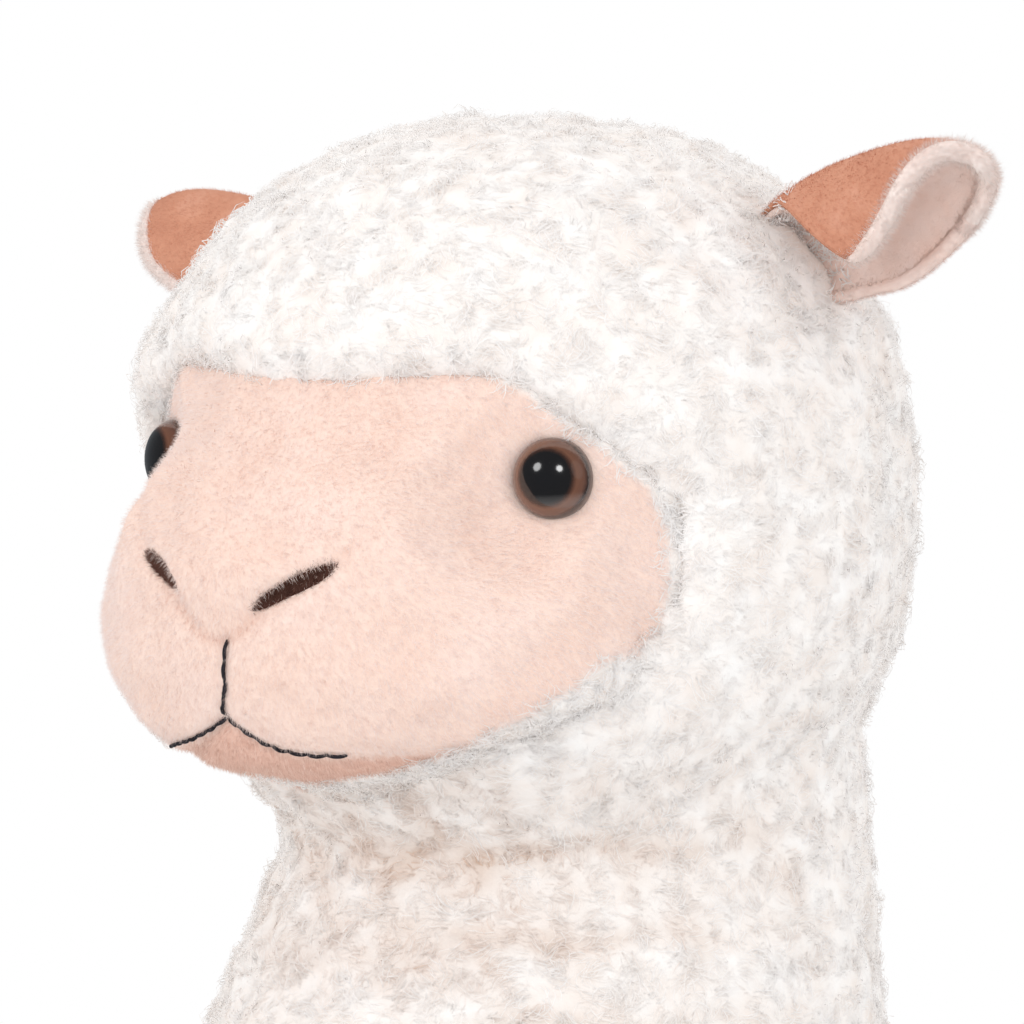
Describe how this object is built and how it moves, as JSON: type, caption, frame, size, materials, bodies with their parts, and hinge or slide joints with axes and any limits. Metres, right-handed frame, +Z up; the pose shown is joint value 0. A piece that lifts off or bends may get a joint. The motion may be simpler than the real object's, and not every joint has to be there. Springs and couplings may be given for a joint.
{
  "type": "plush alpaca",
  "caption": "Standing plush alpaca toy with a curly cream fleece coat, short-pile peach face, domed plastic eyes, stitched mouth and folded terracotta ears",
  "frame": {"origin": "on the floor, under the middle of the box around the whole toy", "axes": "+Z up, the animal looks along -Y, its left side is +X"},
  "size_m": [0.2532, 0.3374, 0.499],
  "materials": {
    "fleece": "curly cream boa fleece, tufts about 4 mm",
    "face_pile": "short peach pile, matt",
    "nostril_pile": "short dark brown pile",
    "thread": "dark embroidery thread",
    "eye_plastic": "clear polished dome over a brown ring and a black pupil",
    "washer_plastic": "plain white moulding, hidden",
    "ear_velour": "terracotta velour, very short pile",
    "ear_lining": "pale pink short pile",
    "filling": "loose white polyester fibre, hidden"
  },
  "bodies": {
    "root": {"head_cover_left": "fleece", "head_cover_right": "fleece", "body_side_left": "fleece", "body_side_right": "fleece", "belly_panel": "fleece", "tail": "fleece", "face_bridge": "face_pile", "cheek_left": "face_pile", "cheek_right": "face_pile", "chin_panel": "face_pile", "nostril_left": "nostril_pile", "nostril_right": "nostril_pile", "philtrum_stitch": "thread", "mouth_stitch_left": "thread", "mouth_stitch_right": "thread", "eye_left": "eye_plastic", "eye_right": "eye_plastic", "eye_washer_left": "washer_plastic", "eye_washer_right": "washer_plastic", "ear_outer_left": "ear_velour", "ear_outer_right": "ear_velour", "ear_lining_left": "ear_lining", "ear_lining_right": "ear_lining", "filling": "filling", "leg_cover_front_left": "fleece", "foot_cover_front_left": "face_pile", "sole_front_left": "face_pile", "leg_cover_front_right": "fleece", "foot_cover_front_right": "face_pile", "sole_front_right": "face_pile", "leg_cover_hind_left": "fleece", "foot_cover_hind_left": "face_pile", "sole_hind_left": "face_pile", "leg_cover_hind_right": "fleece", "foot_cover_hind_right": "face_pile", "sole_hind_right": "face_pile"}
  },
  "joints": []
}
